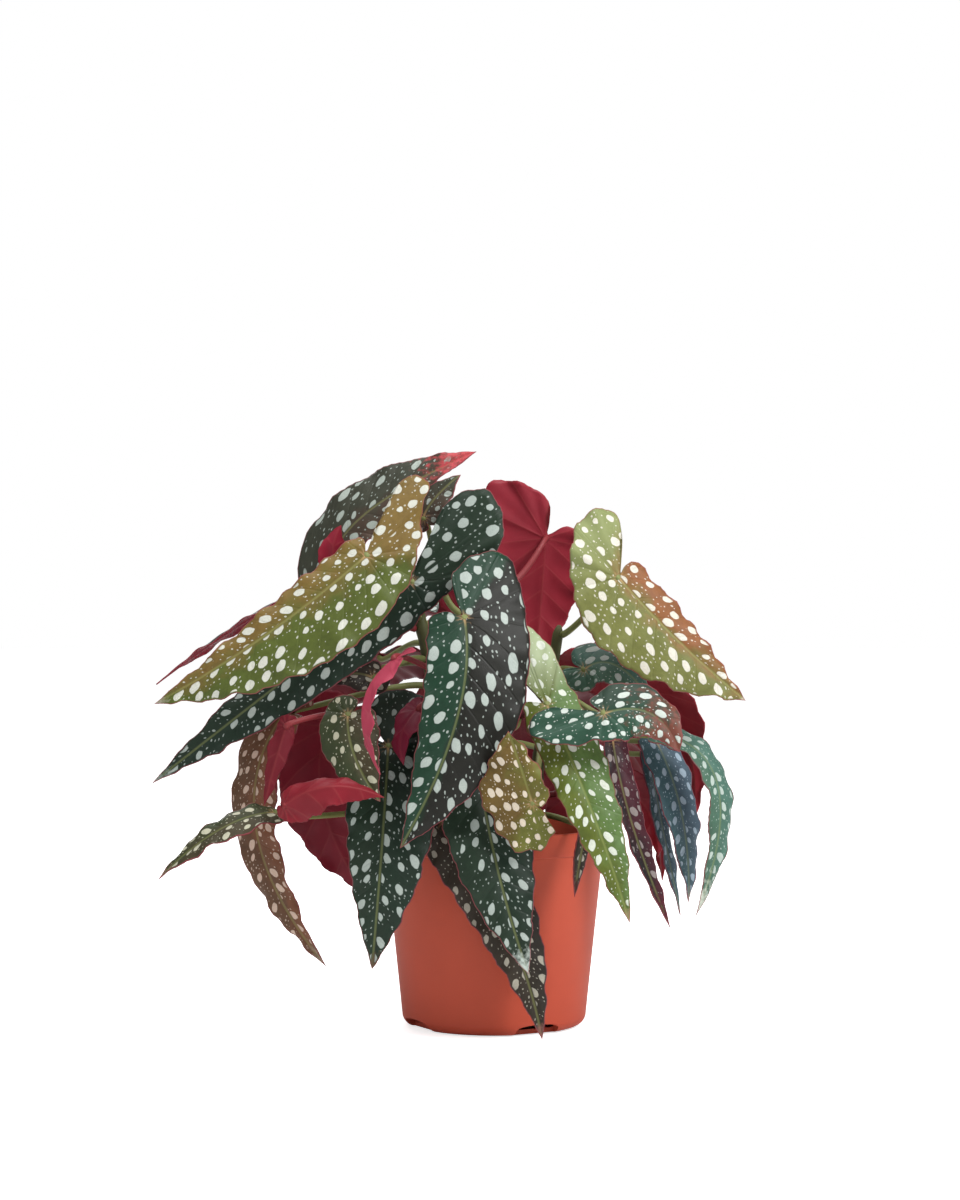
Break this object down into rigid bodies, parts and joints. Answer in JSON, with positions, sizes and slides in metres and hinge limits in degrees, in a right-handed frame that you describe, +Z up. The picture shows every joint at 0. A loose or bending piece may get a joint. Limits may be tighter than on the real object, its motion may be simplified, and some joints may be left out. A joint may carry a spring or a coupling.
{
  "type": "potted polka dot begonia",
  "caption": "Potted cane begonia with long asymmetric dark leaves, silver polka dots and crimson undersides, in a plain round nursery pot.",
  "frame": {"origin": "centre of the pot's underside, on the surface it stands on", "axes": "+Z up along the pot's axis, -Y towards the side the largest leaves hang on, +X to the right seen from that side"},
  "size_m": [0.3023, 0.2161, 0.3002],
  "materials": {
    "pot": "matt terracotta coloured plastic",
    "soil": "dark moist potting mix",
    "cane": "smooth green brown stem",
    "leaf_dark": "satin dark green with silver dots, crimson underside",
    "leaf_olive": "satin olive green with silver dots, crimson underside",
    "leaf_bright": "satin bright green with silver dots",
    "leaf_brown": "satin brown green with pale dots",
    "leaf_red": "satin crimson underside turned outwards",
    "leaf_blue": "satin blue green with silver dots"
  },
  "bodies": {
    "root": {"pot": "pot", "soil": "soil", "cane_front": "cane", "cane_right": "cane", "cane_back": "cane", "cane_left": "cane", "leaf_front": "leaf_dark", "leaf_long_dark": "leaf_dark", "leaf_olive": "leaf_olive", "leaf_upper_right": "leaf_olive", "leaf_left_tip": "leaf_red", "leaf_top_left": "leaf_dark", "leaf_behind_crown": "leaf_dark", "leaf_red_back": "leaf_red", "leaf_red_right": "leaf_red", "leaf_red_low_right": "leaf_red", "leaf_arching_right": "leaf_dark", "leaf_bright": "leaf_bright", "leaf_teal_back": "leaf_blue", "leaf_blue": "leaf_blue", "leaf_arc_right": "leaf_blue", "leaf_teal_strip": "leaf_blue", "leaf_maroon": "leaf_red", "leaf_ruffled": "leaf_olive", "leaf_hanging_left": "leaf_dark", "leaf_left_small": "leaf_brown", "leaf_red_curl": "leaf_red", "leaf_red_hanging": "leaf_red", "leaf_dark_fold": "leaf_brown", "leaf_far_left": "leaf_brown", "leaf_crimson_fold": "leaf_red", "leaf_left_low_tip": "leaf_brown", "leaf_pink_curl": "leaf_red", "leaf_crimson_inner": "leaf_red", "leaf_hanging_middle": "leaf_dark", "leaf_lowest": "leaf_dark", "leaf_withered": "leaf_brown", "leaf_back_high": "leaf_dark", "leaf_back_right": "leaf_dark", "leaf_back_middle": "leaf_dark", "leaf_back_left": "leaf_dark", "leaf_back_low": "leaf_dark", "leaf_back_low_right": "leaf_dark", "leaf_crown_red": "leaf_red", "leaf_inner_left": "leaf_dark", "leaf_side_left": "leaf_dark", "leaf_side_right": "leaf_dark"}
  },
  "joints": []
}
